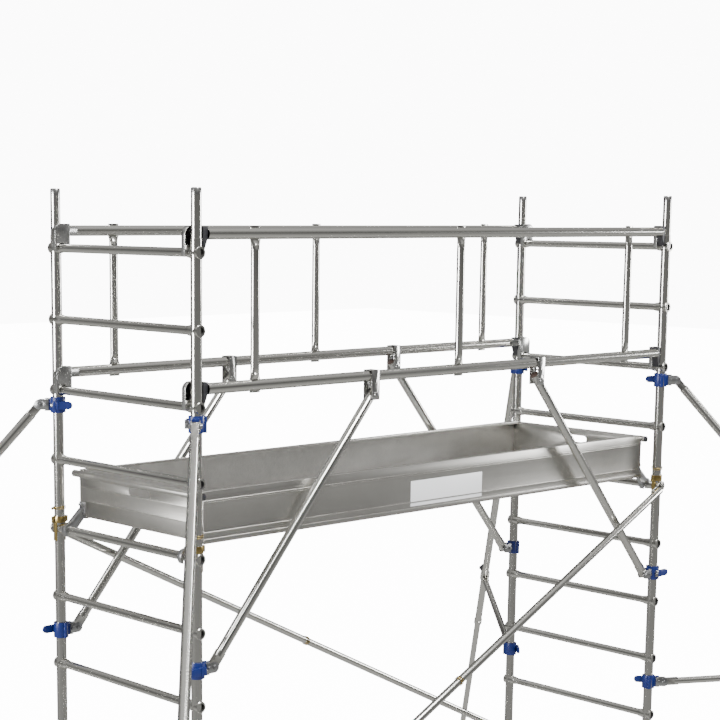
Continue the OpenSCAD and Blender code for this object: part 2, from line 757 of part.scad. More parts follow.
// ---- Stabilisers ----
module tube_frame() {
    translate([clamp_reach, 0, upper_clamp_z]) rotate([0, tube_tilt, 0]) children();
}
module stabiliser_clamps() {
    color("royalblue") {
        translate([0, 0, upper_clamp_z]) saddle();
        translate([0, 0, lower_clamp_z]) saddle();
    }
    color("silver") {
        translate([0, 0, upper_clamp_z]) cheeks(true);
        translate([0, 0, lower_clamp_z]) cheeks(false);
    }
}
module stabiliser_gates() {
    color("royalblue") for (z = [upper_clamp_z, lower_clamp_z]) translate([0, 0, z]) gate();
}
module stabiliser_tube() {
    bore = outer_d - 2 * outer_wall;
    collar_d = outer_d + 12;
    color("silver") tube_frame() {
        difference() {
            union() {
                translate([0, 0, 46]) cylinder(d = outer_d, h = outer_length - 46);
                tongue(tongue_t);
                translate([0, 0, outer_length - 30]) cylinder(d = outer_d + 6, h = 30);
            }
            translate([0, 0, 80]) cylinder(d = bore, h = outer_length);
            cross_y(pivot_d + 2 * pivot_clearance, 2 * outer_d);
        }
        translate([0, 0, collar_station]) {
            difference() {
                union() {
                    translate([0, 0, -25]) cylinder(d = collar_d, h = 50);
                    for (s = [-1, 1]) translate([0, s * (cheek_y + cheek_t / 2), 0]) {
                        box(outer_d / 2, collar_arm, -cheek_t / 2, cheek_t / 2, -14, 14);
                        translate([collar_arm, 0, 0]) cross_y(28, cheek_t);
                    }
                }
                translate([0, 0, -26]) cylinder(d = outer_d, h = 52);
                box(collar_arm - tongue_w / 2 - 3, 100, -cheek_y, cheek_y, -40, 40);
            }
            translate([collar_arm, 0, 0]) cross_y(pivot_d, 2 * (cheek_y + cheek_t + 4));
            translate([-collar_d / 2 - 20, 0, 0]) along_x() cylinder(d = 10, h = 21);
            translate([-collar_d / 2 - 32, 0, 0]) along_x() cylinder(d = 44, h = 14);
        }
    }
}
module stabiliser_leg() {
    color("gainsboro") {
        tube_frame() difference() {
            union() {
                translate([0, 0, outer_length - leg_engagement])
                    cylinder(d = leg_d, h = tube_length - 45 - outer_length + leg_engagement);
                translate([0, 0, tube_length]) mirror([0, 0, 1]) tongue(20);
            }
            translate([0, 0, outer_length - leg_engagement - 1])
                cylinder(d = leg_d - 2 * leg_wall, h = tube_length - 60 - outer_length + leg_engagement);
            translate([0, 0, tube_length]) cross_y(pivot_d, 60);
        }
        translate([foot_reach, 0, 0]) {
            translate([0, 0, pad_h]) cylinder(d = pad_d - 16, h = shoe_t);
            for (s = [-1, 1]) translate([0, s * 13, 0]) {
                box(-14, 14, -3, 3, pad_h + shoe_t - 1, foot_pin_z);
                translate([0, 0, foot_pin_z]) cross_y(28, 6);
            }
            translate([0, 0, foot_pin_z]) cross_y(pivot_d, 38);
        }
    }
    color([0.12, 0.12, 0.13]) translate([foot_reach, 0, 0]) cylinder(d = pad_d, h = pad_h);
}
module stabiliser_strut() {
    color("silver") translate([collar_x, 0, collar_z]) rotate([0, stab_strut_tilt, 0]) difference() {
        union() {
            translate([0, 0, 45]) cylinder(d = stab_strut_d, h = stab_strut_length - 90);
            tongue(tongue_t);
            translate([0, 0, stab_strut_length]) mirror([0, 0, 1]) tongue(tongue_t);
        }
        cross_y(pivot_d + 2 * pivot_clearance, 60);
    }
}

// ---- Assembly ----
frame_uprights();
frame_rungs();
frame_spigots();
joint_fittings();
leg_nuts();
deck_frame_beams();
deck_floor_planks();
deck_end_boards();
deck_hooks();
guardrail_rails();
guardrail_posts();
guardrail_end_brackets();
guardrail_strut_brackets();
rail_clamp_saddles();
diagonal_braces();
plastic_fittings();
for (c = CORNERS) {
    at_corner(c) castor_leg();
    at_corner(c) castor_fork();
    at_corner(c) castor_wheel();
    at_corner(c) castor_brake();
    corner_frame(c) rail_strut();
    corner_frame(c) rail_clamp();
    stab_frame(c) stabiliser_clamps();
    stab_frame(c) stabiliser_gates();
    stab_frame(c) stabiliser_tube();
    stab_frame(c) stabiliser_leg();
    stab_frame(c) stabiliser_strut();
}
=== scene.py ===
# %% [markdown]
# # A rolling scaffold tower
# This lesson dresses a tower that was designed elsewhere as an exact model. The
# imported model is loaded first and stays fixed: every piece made here takes its
# place from it. The exact model is only roughly faceted, so tubes, wheels and
# castings are made again here with finer edges and real finishes.

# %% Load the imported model
import json
import math

import bpy
from mathutils import Matrix, Vector

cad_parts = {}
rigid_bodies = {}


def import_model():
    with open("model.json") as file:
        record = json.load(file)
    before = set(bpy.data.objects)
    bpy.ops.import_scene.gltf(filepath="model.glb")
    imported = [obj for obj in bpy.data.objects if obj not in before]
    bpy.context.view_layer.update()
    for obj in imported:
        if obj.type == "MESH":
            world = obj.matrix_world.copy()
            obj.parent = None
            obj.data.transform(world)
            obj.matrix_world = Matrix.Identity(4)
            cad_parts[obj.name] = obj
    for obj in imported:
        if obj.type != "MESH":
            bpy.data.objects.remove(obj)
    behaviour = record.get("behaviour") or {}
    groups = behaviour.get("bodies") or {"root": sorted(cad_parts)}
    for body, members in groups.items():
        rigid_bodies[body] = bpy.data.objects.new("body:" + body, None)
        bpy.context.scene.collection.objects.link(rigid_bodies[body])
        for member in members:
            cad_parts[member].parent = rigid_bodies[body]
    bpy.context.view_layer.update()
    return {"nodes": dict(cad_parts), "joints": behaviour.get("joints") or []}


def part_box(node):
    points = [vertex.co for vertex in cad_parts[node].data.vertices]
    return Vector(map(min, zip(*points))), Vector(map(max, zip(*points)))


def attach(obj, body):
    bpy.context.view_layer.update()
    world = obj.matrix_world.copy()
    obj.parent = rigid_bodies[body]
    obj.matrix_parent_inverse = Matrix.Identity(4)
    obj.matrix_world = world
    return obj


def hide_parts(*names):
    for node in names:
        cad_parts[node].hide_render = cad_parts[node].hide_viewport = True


bpy.ops.object.select_all(action="SELECT")
bpy.ops.object.delete()
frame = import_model()
nodes = frame["nodes"]
joints = {joint["name"]: joint for joint in frame["joints"]}
print("nodes:", len(nodes), "joints:", len(joints))

# %% [markdown]
# ## Places to work from
# A tower is a few tubes repeated many times, so nearly everything follows from
# the four uprights, the height of the rungs and the height of the deck. These
# are read off the model once, so that no place has to be typed twice.

# %% Driving places
CORNERS = {
    "front_left": (-1, -1),
    "front_right": (1, -1),
    "back_left": (-1, 1),
    "back_right": (1, 1),
}
X, Y, Z = Vector((1, 0, 0)), Vector((0, 1, 0)), Vector((0, 0, 1))
TUBE_R = 0.019
RUNG_R = 0.015
RUNGS = 12
BRACE_DROP = 5
CLAMP_REACH = 0.066
LOWER_CLAMP_Z = 1.347
low, high = (Vector(v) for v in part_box("frame_uprights"))
HALF_L = high.x - TUBE_R
HALF_W = high.y - TUBE_R
FOOT_Z, TOP_Z = low.z, high.z
rung_low, rung_high = (Vector(v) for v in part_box("frame_rungs"))
FIRST_RUNG = rung_low.z + TUBE_R
PITCH = (rung_high.z - rung_low.z - 2 * TUBE_R) / (RUNGS - 1)
DECK_Z = FIRST_RUNG + 7 * PITCH
JOINT_Z = DECK_Z + 0.046


def upright_at(corner):
    """The foot of a corner's axis, on the floor."""
    side_x, side_y = CORNERS[corner]
    return Vector((side_x * HALF_L, side_y * HALF_W, 0))


def pivot(joint):
    """Where a hinge of the model turns."""
    return Vector(joints[joint]["pos_m"])


print("half length", round(HALF_L, 4), "half width", round(HALF_W, 4))
print("first rung", round(FIRST_RUNG, 4), "pitch", round(PITCH, 4))

# %% [markdown]
# ## Camera
# A long lens from a little above the top rung, at the corner of the tower,
# shows both ladder frames nearly parallel. The lens is shifted downwards so
# that the uprights stay upright in the picture without tilting the camera much.

# %% Camera
CAMERA_AT = Vector((-4.9322, -4.8499, 3.3302))
CAMERA_YAW = 0.74074
CAMERA_PITCH = 0.16209
CAMERA_ROLL = 0.0069
SENSOR = 36.0
camera_data = bpy.data.cameras.new("camera")
camera = bpy.data.objects.new("camera", camera_data)
bpy.context.scene.collection.objects.link(camera)
camera.location = CAMERA_AT
heading = Matrix.Rotation(-CAMERA_YAW, 4, "Z")
turn = heading @ Matrix.Rotation(math.pi / 2 - CAMERA_PITCH, 4, "X")
camera.rotation_euler = (turn @ Matrix.Rotation(CAMERA_ROLL, 4, "Z")).to_euler()
camera_data.sensor_width = SENSOR
camera_data.lens = 89.26
camera_data.shift_x = 0.1
camera_data.shift_y = 0.2
camera_data.clip_end = 200
bpy.context.scene.camera = camera
print("lens", camera_data.lens, "at", tuple(round(v, 2) for v in camera.location))

# %% [markdown]
# ## Floor and light
# Bright metal shows what is around it. In an all-white studio aluminium looks
# like paper, so the walls that the metal mirrors are darker near the horizon
# than overhead, as black cards are in a real studio. What the camera sees behind
# the tower is a separate bright backdrop. The floor is bright for the camera
# only: it is hidden from mirror and bounced light, so it can't wash the metal
# out from below. Three large soft lamps draw long highlights on the tubes.

# %% Floor
bpy.ops.object.select_all(action="DESELECT")
bpy.ops.mesh.primitive_grid_add(
    x_subdivisions=8, y_subdivisions=8, size=80, location=(0, 0, -0.001)
)
floor = bpy.context.object
floor.name = "studio_floor"
floor_paint = bpy.data.materials.new("pale_floor")
floor_paint.use_nodes = True
floor_shader = floor_paint.node_tree.nodes["Principled BSDF"]
floor_shader.inputs["Base Color"].default_value = (0.92, 0.92, 0.92, 1)
floor_shader.inputs["Roughness"].default_value = 0.9
floor_shader.inputs["Emission Color"].default_value = (1, 1, 1, 1)
floor_shader.inputs["Emission Strength"].default_value = 13.0
floor.data.materials.append(floor_paint)
floor.visible_glossy = False
floor.visible_diffuse = False
print("floor", floor.dimensions[:2])


# %% Lamps
def lamp(name, at, towards, size, power):
    """A large square soft lamp that faces a point."""
    data = bpy.data.lights.new(name, "AREA")
    data.size = size
    data.energy = power
    made = bpy.data.objects.new(name, data)
    bpy.context.scene.collection.objects.link(made)
    made.location = at
    made.rotation_euler = (Vector(towards) - Vector(at)).to_track_quat("-Z", "Y").to_euler()
    return made


lamp("key", (-6.5, 1.0, 3.2), (0, 0, 2.4), 2.2, 420)
lamp("top", (-0.5, -3.5, 7.5), (0, 0, 2.2), 2.2, 480)
lamp("rim", (6.5, -3.0, 3.4), (0, 0, 2.4), 1.4, 170)

# %% Sky
world = bpy.data.worlds.new("studio")
bpy.context.scene.world = world
world.use_nodes = True
sky_nodes, sky_links = world.node_tree.nodes, world.node_tree.links
sky = sky_nodes["Background"]
sky.inputs["Color"].default_value = (1, 1, 1, 1)
sky.inputs["Strength"].default_value = 1.3
backdrop = sky_nodes.new("ShaderNodeBackground")
backdrop.inputs["Strength"].default_value = 14.0
walls = sky_nodes.new("ShaderNodeBackground")
walls.inputs["Strength"].default_value = 1.0
place = sky_nodes.new("ShaderNodeTexCoord")
split = sky_nodes.new("ShaderNodeSeparateXYZ")
fade = sky_nodes.new("ShaderNodeValToRGB")
fade.color_ramp.elements[0].position = 0.20
fade.color_ramp.elements[0].color = (0.62, 0.62, 0.60, 1)
fade.color_ramp.elements[1].position = 0.92
fade.color_ramp.elements[1].color = (0.75, 0.75, 0.74, 1)
for height, grey in ((0.40, 0.30), (0.485, 0.20), (0.56, 0.07), (0.72, 0.30)):
    fade.color_ramp.elements.new(height).color = (grey, grey, grey * 0.98, 1)
up = sky_nodes.new("ShaderNodeMapRange")
up.inputs["From Min"].default_value = -1
rays = sky_nodes.new("ShaderNodeLightPath")
choice = sky_nodes.new("ShaderNodeMixShader")
seen = sky_nodes.new("ShaderNodeMixShader")
sky_links.new(place.outputs["Generated"], split.inputs["Vector"])
sky_links.new(split.outputs["Z"], up.inputs["Value"])
sky_links.new(up.outputs["Result"], fade.inputs["Fac"])
sky_links.new(fade.outputs["Color"], walls.inputs["Color"])
sky_links.new(rays.outputs["Is Camera Ray"], seen.inputs["Fac"])
sky_links.new(sky.outputs["Background"], seen.inputs[1])
sky_links.new(backdrop.outputs["Background"], seen.inputs[2])
sky_links.new(rays.outputs["Is Glossy Ray"], choice.inputs["Fac"])
sky_links.new(seen.outputs["Shader"], choice.inputs[1])
sky_links.new(walls.outputs["Background"], choice.inputs[2])
sky_links.new(choice.outputs["Shader"], sky_nodes["World Output"].inputs["Surface"])
print("sky strength", sky.inputs["Strength"].default_value)

# %% [markdown]
# ## Finishes
# Extruded tube carries very fine lines along its length, left by the die, and
# small handling marks. Noise that is stretched along the tube gives both: it
# drives the roughness a little and the bump very little. The pattern reads
# Object coordinates, turned so that the stretch follows the tube.


# %% A helper for finishes
def finish(name, color, metal, rough, grain, stretch=(1, 1, 1), along=Z, bump=0.02, mottle=0.08):
    """A finish with a noise grain; the grain is stretched along one direction."""
    made = bpy.data.materials.new(name)
    made.use_nodes = True
    tree = made.node_tree
    shader = tree.nodes["Principled BSDF"]
    shader.inputs["Metallic"].default_value = metal
    coords = tree.nodes.new("ShaderNodeTexCoord")
    turn = tree.nodes.new("ShaderNodeMapping")
    turn.vector_type = "TEXTURE"
    turn.inputs["Rotation"].default_value = along.to_track_quat("Z", "Y").to_euler()
    squeeze = tree.nodes.new("ShaderNodeMapping")
    squeeze.inputs["Scale"].default_value = stretch
    noise = tree.nodes.new("ShaderNodeTexNoise")
    noise.inputs["Scale"].default_value = grain
    noise.inputs["Detail"].default_value = 5
    cloud = tree.nodes.new("ShaderNodeTexNoise")
    cloud.inputs["Scale"].default_value = 9
    cloud.inputs["Detail"].default_value = 3
    tint = tree.nodes.new("ShaderNodeMixRGB")
    tint.inputs["Color1"].default_value = tuple(c * (1 - mottle) for c in color) + (1,)
    tint.inputs["Color2"].default_value = tuple(min(1, c * (1 + mottle)) for c in color) + (1,)
    spread = tree.nodes.new("ShaderNodeMapRange")
    spread.inputs["To Min"].default_value = rough * 0.78
    spread.inputs["To Max"].default_value = min(1, rough * 1.25)
    relief = tree.nodes.new("ShaderNodeBump")
    relief.inputs["Strength"].default_value = bump
    relief.inputs["Distance"].default_value = 0.002
    link = tree.links.new
    link(coords.outputs["Object"], turn.inputs["Vector"])
    link(turn.outputs["Vector"], squeeze.inputs["Vector"])
    link(squeeze.outputs["Vector"], noise.inputs["Vector"])
    link(coords.outputs["Object"], cloud.inputs["Vector"])
    link(cloud.outputs["Fac"], tint.inputs["Fac"])
    link(tint.outputs["Color"], shader.inputs["Base Color"])
    link(noise.outputs["Fac"], spread.inputs["Value"])
    link(spread.outputs["Result"], shader.inputs["Roughness"])
    link(noise.outputs["Fac"], relief.inputs["Height"])
    link(relief.outputs["Normal"], shader.inputs["Normal"])
    return made


# %% [markdown]
# The grain needs one direction for each way a tube runs. A small store makes
# each of them once, the first time that a tube asks for it.

# %% Aluminium tube, one finish for each direction
LINES = (300, 300, 3)
tube_finishes = {}


def tube_aluminium(direction):
    """Polished extruded tube whose lines run along a direction."""
    d = Vector(direction).normalized()
    key = tuple(round(v, 2) for v in d)
    if key not in tube_finishes:
        name = "tube_aluminium_%02d" % len(tube_finishes)
        tube_finishes[key] = finish(
            name, (0.62, 0.612, 0.58), 1.0, 0.19, 1.0, LINES, d, bump=0.003, mottle=0.04
        )
    return tube_finishes[key]


# %% The other finishes
MILL = (0.56, 0.55, 0.52)
mill_aluminium = finish("mill_aluminium", MILL, 1.0, 0.36, 1.0, (260, 260, 3), X, 0.03)
mill_across = finish("mill_aluminium_across", MILL, 1.0, 0.36, 1.0, (260, 260, 3), Y, 0.03)
TREAD = (0.42, 0.42, 0.42)
tread_aluminium = finish("tread_aluminium", TREAD, 0.85, 0.50, 620.0, bump=0.5, mottle=0.12)
# Painted shade: a near-black finish for the inner walls of the rungs, where little light
# reaches.
painted_shade_bore = finish("painted_shade_bore", (0.012, 0.012, 0.012), 0.0, 0.7, 90.0, bump=0.02)
bright_aluminium = finish("bright_aluminium", (0.56, 0.56, 0.55), 1.0, 0.22, 160.0, bump=0.02)
bright_zinc = finish("bright_zinc", (0.42, 0.425, 0.43), 1.0, 0.30, 220.0, bump=0.04)
yellow_zinc = finish("yellow_zinc", (0.42, 0.31, 0.12), 1.0, 0.30, 180.0, bump=0.04, mottle=0.16)
blue_plastic = finish("blue_plastic", (0.004, 0.015, 0.125), 0.0, 0.36, 520.0, bump=0.06)
# Black plastic for hubs, knobs and fittings; the same finish is also painted shade in the pin
# holes of the spigots.
black_plastic = finish("black_plastic", (0.022, 0.022, 0.025), 0.0, 0.45, 480.0, bump=0.08)
brown_plastic = finish("brown_plastic", (0.045, 0.028, 0.022), 0.0, 0.40, 480.0, bump=0.06)
red_plastic = finish("red_plastic", (0.30, 0.012, 0.010), 0.0, 0.38, 480.0, bump=0.06)
tyre_rubber = finish("tyre_rubber", (0.055, 0.056, 0.06), 0.0, 0.72, 320.0, bump=0.14)
label_film = finish("label_film", (0.80, 0.81, 0.82), 0.0, 0.34, 90.0, bump=0.02, mottle=0.03)
print("finishes:", len(bpy.data.materials))

# %% [markdown]
# ## Turning round pieces
# A lathe is the natural tool for tubes, wheels, nuts, knobs and plugs. By hand
# this is a circle that is extruded ring by ring, each new ring moved up and
# scaled. The helper below does exactly that, from a short list of heights and
# radii. A tube goes up outside and down inside, and a bridge closes it.


# %% The lathe
def only(obj):
    """Selects one object and nothing else."""
    bpy.ops.object.select_all(action="DESELECT")
    obj.select_set(True)
    bpy.context.view_layer.objects.active = obj


def turned(name, rings, sides=40, hollow=False):
    """Extrudes a circle from ring to ring; a ring is (height, radius)."""
    bpy.ops.object.select_all(action="DESELECT")
    height, radius = rings[0]
    bpy.ops.mesh.primitive_circle_add(vertices=sides, radius=radius, location=(0, 0, 0))
    obj = bpy.context.object
    obj.name = name
    bpy.ops.object.mode_set(mode="EDIT")
    bpy.ops.mesh.select_all(action="SELECT")
    bpy.ops.transform.translate(value=(0, 0, height))
    if not hollow:
        bpy.ops.mesh.edge_face_add()
    for next_height, next_radius in rings[1:]:
        bpy.ops.mesh.extrude_region_move()
        bpy.ops.transform.translate(value=(0, 0, next_height - height))
        grow = next_radius / radius
        bpy.ops.transform.resize(value=(grow, grow, 1), center_override=(0, 0, 0))
        height, radius = next_height, next_radius
    if hollow:
        bpy.ops.mesh.select_all(action="DESELECT")
        bpy.ops.mesh.select_non_manifold()
        bpy.ops.mesh.bridge_edge_loops()
    bpy.ops.mesh.select_all(action="SELECT")
    bpy.ops.mesh.normals_make_consistent(inside=False)
    bpy.ops.object.mode_set(mode="OBJECT")
    return obj


def apply_place(obj):
    """Moves an object's place into its mesh."""
    only(obj)
    bpy.ops.object.transform_apply(location=True, rotation=True, scale=True)


def lay(obj, start, direction=Z):
    """Puts a piece that was made along +Z where it belongs."""
    facing = Vector(direction).to_track_quat("Z", "Y").to_matrix().to_4x4()
    obj.matrix_world = Matrix.Translation(start) @ facing
    apply_place(obj)
    return obj


def twin(obj, name=None):
    """A copy with its own mesh."""
    made = obj.copy()
    made.data = obj.data.copy()
    bpy.context.scene.collection.objects.link(made)
    if name:
        made.name = name
    return made


def smooth(obj, degrees=35):
    """Shades a piece smooth wherever its faces meet at a small angle."""
    only(obj)
    bpy.ops.object.shade_smooth_by_angle(angle=math.radians(degrees))


def dress(obj, material):
    """Gives a piece one finish."""
    obj.data.materials.clear()
    obj.data.materials.append(material)


def joined(pieces, name):
    """Makes one object of several."""
    only(pieces[0])
    for piece in pieces[1:]:
        piece.select_set(True)
    if len(pieces) > 1:
        bpy.ops.object.join()
    obj = bpy.context.object
    obj.name = name
    return obj


def settle(obj, body, slot, *stands_for):
    """The last step of a piece: shading, body and the node it stands for; slot is not used."""
    smooth(obj)
    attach(obj, body)
    if stands_for:
        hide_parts(*stands_for)
    print(obj.name, "faces", len(obj.data.polygons))
    return obj


# %% A drawn tube
def tube(name, start, end, radius, wall=0.002, sides=40, lip=0.0004):
    """A hollow tube with slightly broken edges at both ends."""
    start, end = Vector(start), Vector(end)
    length = (end - start).length
    inner = radius - wall
    rings = [
        (lip, radius), (length - lip, radius), (length, radius - lip),
        (length, inner + lip), (length - lip, inner), (lip, inner),
        (0, inner + lip), (0, radius - lip),
    ]
    made = turned(name, rings, sides, hollow=True)
    lay(made, start, end - start)
    dress(made, tube_aluminium(end - start))
    return made


# %% Bent wire
WELD = 0.00002
COIL_STEPS = 32


def wire(name, points, radius):
    """A round wire that follows a list of points, closed at both ends."""
    curve = bpy.data.curves.new(name, "CURVE")
    curve.dimensions = "3D"
    curve.bevel_depth = radius
    curve.bevel_resolution = 3
    curve.use_fill_caps = True
    line = curve.splines.new("POLY")
    line.points.add(len(points) - 1)
    for slot_in_line, point in zip(line.points, points):
        slot_in_line.co = (*point, 1)
    made = bpy.data.objects.new(name, curve)
    bpy.context.scene.collection.objects.link(made)
    only(made)
    bpy.ops.object.convert(target="MESH")
    made = bpy.context.object
    bpy.ops.object.mode_set(mode="EDIT")
    bpy.ops.mesh.select_all(action="SELECT")
    bpy.ops.mesh.remove_doubles(threshold=WELD)
    bpy.ops.mesh.normals_make_consistent(inside=False)
    bpy.ops.object.mode_set(mode="OBJECT")
    return made


def coil(radius, pitch, turns, start=0.0):
    """Points of a coil round +Z, centred on the origin."""
    points = []
    for step in range(int(turns * COIL_STEPS) + 1):
        a = start + 2 * math.pi * step / COIL_STEPS
        rise = pitch * (step / COIL_STEPS - turns / 2)
        points.append((radius * math.cos(a), radius * math.sin(a), rise))
    return points


# %% [markdown]
# ## Finer copies of cast and bent pieces
# Brackets, clamps and hooks have the right shape already. Their edges are
# razor sharp, which real castings never are. A copy has its doubled points
# merged and its flat faces joined, and then a small bevel catches the light.


# %% Softened copy
def softened(node, width, sharp=50, segments=2):
    """A bevelled copy of a node, which stays in place as the fixed model."""
    made = twin(nodes[node], node + "_shaped")
    for key in list(made.keys()):
        del made[key]
    made.parent = None
    only(made)
    bpy.ops.object.mode_set(mode="EDIT")
    bpy.ops.mesh.select_all(action="SELECT")
    bpy.ops.mesh.remove_doubles(threshold=WELD)
    bpy.ops.mesh.dissolve_limited(angle_limit=math.radians(1))
    bpy.ops.object.mode_set(mode="OBJECT")
    if width:
        bevel = made.modifiers.new("soft_edges", "BEVEL")
        bevel.width = width
        bevel.segments = segments
        bevel.limit_method = "ANGLE"
        bevel.angle_limit = math.radians(sharp)
        bpy.ops.object.modifier_apply(modifier=bevel.name)
    bpy.ops.object.mode_set(mode="EDIT")
    bpy.ops.mesh.select_all(action="SELECT")
    bpy.ops.mesh.quads_convert_to_tris()
    bpy.ops.object.mode_set(mode="OBJECT")
    return made


def paint_where(obj, material, test):
    """Adds a finish and gives it to the faces whose middle passes a test."""
    obj.data.materials.append(material)
    index = len(obj.data.materials) - 1
    count = 0
    for face in obj.data.polygons:
        if test(face.center, face.normal):
            face.material_index = index
            count += 1
    return count


# %% [markdown]
# ## Uprights
# Each corner is two tubes, one standing on the other. The joint shows as a
# hairline, which comes from the broken edges of both tubes.

# %% Uprights
WALL = 0.0016
pieces = []
for corner in CORNERS:
    foot = upright_at(corner)
    for bottom, top in ((FOOT_Z, JOINT_Z), (JOINT_Z, TOP_Z)):
        pieces.append(tube("upright", foot + Z * bottom, foot + Z * top, TUBE_R, WALL, 48))
settle(joined(pieces, "upright_tubes"), "root", "tube_aluminium", "frame_uprights")

# %% [markdown]
# ## Rungs
# A rung goes right through both uprights and is swaged there: its ends are
# belled out against the tube, inside and outside. One rung is turned with its
# bells and copied to every height, with its own mesh each time.

# %% Rungs
reach = HALF_W + TUBE_R + 0.004
BELL_R = 0.0205
bell_in = HALF_W - TUBE_R
rings = []
for side in (-1, 1):
    profile = [
        (bell_in - 0.026, RUNG_R), (bell_in - 0.018, 0.0168), (bell_in - 0.008, 0.0186),
        (bell_in, 0.0190), (HALF_W + TUBE_R, 0.0190), (HALF_W + TUBE_R, BELL_R),
        (reach - 0.0015, BELL_R), (reach, BELL_R - 0.0015),
        (reach, 0.0135), (reach - 0.004, 0.0125),
    ]
    outer = [(side * h, r) for h, r in profile]
    rings += outer if side > 0 else outer[::-1]
first_rung = turned("rung", rings, 40, hollow=True)
lay(first_rung, Vector((-HALF_L, 0, FIRST_RUNG)), Y)
pieces = []
for side in (-1, 1):
    for step in range(RUNGS):
        rung = twin(first_rung)
        rung.location = ((side + 1) * HALF_L, 0, step * PITCH)
        apply_place(rung)
        pieces.append(rung)
bpy.data.objects.remove(first_rung)
rungs = joined(pieces, "rung_tubes")
dress(rungs, tube_aluminium(Y))


def bore_wall_for_painted_shade(centre, normal):
    """The inner wall of a rung, which faces its own axis and gets painted shade."""
    step = round((centre.z - FIRST_RUNG) / PITCH)
    axis = Vector((math.copysign(HALF_L, centre.x), centre.y, FIRST_RUNG + step * PITCH))
    away = centre - axis
    return away.length < 0.0134 and away.dot(normal) < 0 and abs(normal.y) < 0.99


# The inner walls of the rungs are painted near black, as painted shade for the deep bore.
print("dark faces", paint_where(rungs, painted_shade_bore, bore_wall_for_painted_shade))
settle(rungs, "root", "tube_aluminium", "frame_rungs")

# %% [markdown]
# ## Spigots
# Each of the four tops has a free spigot for the next frame, closed by a cap
# with a fine groove under it and a small lead at the end, so that a tube slides
# on easily. The spigots inside the joints can't be seen, so they are left out.
# The pin hole in each free spigot is painted shade: a near-black rod across it.

# %% Spigots
SPIGOT_R = 0.01735
SPIGOT_DEPTH = 0.14
CAP = 0.025
PIN_RISE = 0.028
HOLE_SHADE_HALF = SPIGOT_R + 0.0003
CAP_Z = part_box("frame_spigots")[1][2] - CAP
cap_rings = [
    (-0.02, 0.0146), (-0.0004, 0.0146), (0, 0.0166), (0.0007, SPIGOT_R),
    (CAP - 0.004, SPIGOT_R), (CAP - 0.001, SPIGOT_R - 0.0016), (CAP, SPIGOT_R - 0.004),
]
# The pin holes are painted shade: a near-black rod runs across each free spigot, and its ends
# show as dark discs where the holes are.
hole_shade_rings = [(-HOLE_SHADE_HALF, 0.0046), (-HOLE_SHADE_HALF, 0.004), (HOLE_SHADE_HALF, 0.004), (HOLE_SHADE_HALF, 0.0046)]
pieces, caps = [], []
for corner in CORNERS:
    foot = upright_at(corner)
    bottom, top = foot + Z * (TOP_Z - SPIGOT_DEPTH), foot + Z * CAP_Z
    pieces.append(tube("spigot", bottom, top, SPIGOT_R, 0.0025, 40, 0.0006))
    cap = turned("cap", cap_rings)
    caps.append(lay(cap, top))
    dress(cap, bright_aluminium)
    # Painted shade for the pin hole: a near-black rod with the black plastic finish.
    pin_hole = turned("pin_hole", hole_shade_rings, 20)
    lay(pin_hole, foot + Z * (TOP_Z + PIN_RISE), X)
    dress(pin_hole, black_plastic)
    pieces.append(pin_hole)
settle(joined(pieces, "spigot_tubes"), "root", "bright_aluminium", "frame_spigots")
settle(joined(caps, "spigot_caps"), "root", "bright_aluminium")

# %% [markdown]
# ## Joint collars and spring clips
# A yellow zinc collar with two legs holds each joint, and a sprung wire with a
# pin locks it. The model has plain rings for the wires. They are cut off the
# copy of the collars here and made again as coils, from a curve with thickness.

# %% Joint collars and clips
collars = softened("joint_fittings", 0.0006)
PIN_Z = JOINT_Z + PIN_RISE
BRACE_Y = 0.428
BRACE_MID = Vector((0, BRACE_Y, (DECK_Z + DECK_Z - BRACE_DROP * PITCH) / 2))
only(collars)
bpy.ops.object.mode_set(mode="EDIT")
bpy.ops.mesh.select_all(action="DESELECT")
bpy.ops.object.mode_set(mode="OBJECT")
for vertex in collars.data.vertices:
    vertex.select = vertex.co.z > JOINT_Z + 0.015 or vertex.co.z < BRACE_MID.z + 0.1
bpy.ops.object.mode_set(mode="EDIT")
bpy.ops.mesh.delete(type="VERT")
bpy.ops.object.mode_set(mode="OBJECT")
dress(collars, yellow_zinc)
settle(collars, "root", "yellow_zinc", "joint_fittings")

WIRE_R = 0.0013
BRACE_WIRE_R = 0.0012
pin_rings = [
    (0.0190, 0.0034), (0.0290, 0.0034), (0.0300, 0.0052), (0.0320, 0.0056), (0.0336, 0.0044),
]
wires = []
for corner in CORNERS:
    side_x = CORNERS[corner][0]
    ring_at = upright_at(corner) + Z * PIN_Z
    turn_from = 0.0 if side_x > 0 else math.pi
    ring = wire("clip_wire", coil(TUBE_R + 0.0036, 0.0062, 2.0, turn_from), WIRE_R)
    wires.append(lay(ring, ring_at))
    pin = turned("clip_pin", pin_rings, 24)
    wires.append(lay(pin, ring_at, X * side_x))
for side in (-1, 1):
    middle = Vector((0, side * BRACE_MID.y, BRACE_MID.z))
    slant = Vector((side * HALF_L * 2, 0, -BRACE_DROP * PITCH))
    ring = wire("brace_wire", coil(0.0172, 0.0060, 3.0), BRACE_WIRE_R)
    wires.append(lay(ring, middle, slant))
for piece in wires:
    dress(piece, yellow_zinc)
settle(joined(wires, "spring_clips"), "root", "yellow_zinc", "joint_fittings")

# %% [markdown]
# ## Levelling legs and nuts
# The leg carries a rolled thread. At this distance a thread is a stack of
# shallow rings, which the lathe makes in one go.

